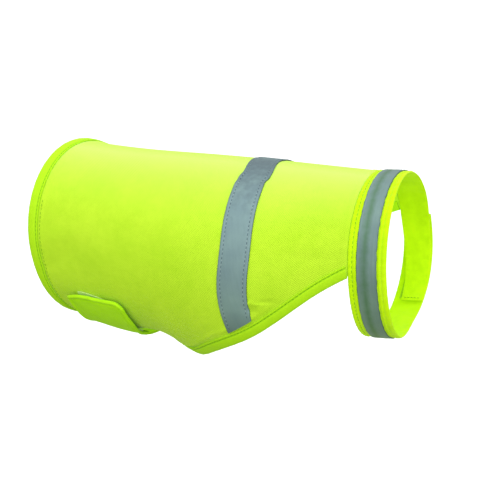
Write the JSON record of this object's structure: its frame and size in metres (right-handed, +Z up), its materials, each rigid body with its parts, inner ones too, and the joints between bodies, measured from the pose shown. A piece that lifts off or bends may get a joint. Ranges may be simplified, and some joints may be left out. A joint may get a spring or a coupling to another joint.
{
  "type": "dog safety vest",
  "caption": "Worn, hollow dog safety vest: wrap-round fluorescent back panel with belly tab closure, bound edges, collar band and grey reflective tape.",
  "frame": {"origin": "on the inside of the back cloth, on the spine line, 150 mm forward of the hem, where the wearer's back holds it up", "axes": "+X forward along the back towards the collar, +Y towards the far side, +Z up; the garment stands tipped 11 degrees, neck end up"},
  "size_m": [0.3412, 0.1781, 0.1932],
  "materials": {
    "body_cloth": "matt fluorescent yellow-green polyester knit",
    "collar_cloth": "matt fluorescent lime polyester knit, doubled",
    "tab_cloth": "matt fluorescent green polyester knit, doubled",
    "binding": "folded polyester tape with a dashed seam",
    "reflective_tape": "satin grey retroreflective cloth tape, sewn along both edges",
    "hook_tape": "stiff hook tape",
    "loop_tape": "brushed loop tape"
  },
  "bodies": {
    "root": {"body_panel": "body_cloth", "hem_binding": "binding", "front_binding_near": "binding", "front_binding_far": "binding", "body_reflective_tape": "reflective_tape", "belly_tab": "tab_cloth", "belly_loop_patch": "loop_tape", "belly_hook_patch": "hook_tape", "collar_band": "collar_cloth", "collar_reflective_tape": "reflective_tape", "collar_loop_patch": "loop_tape", "collar_hook_patch": "hook_tape"}
  },
  "joints": []
}
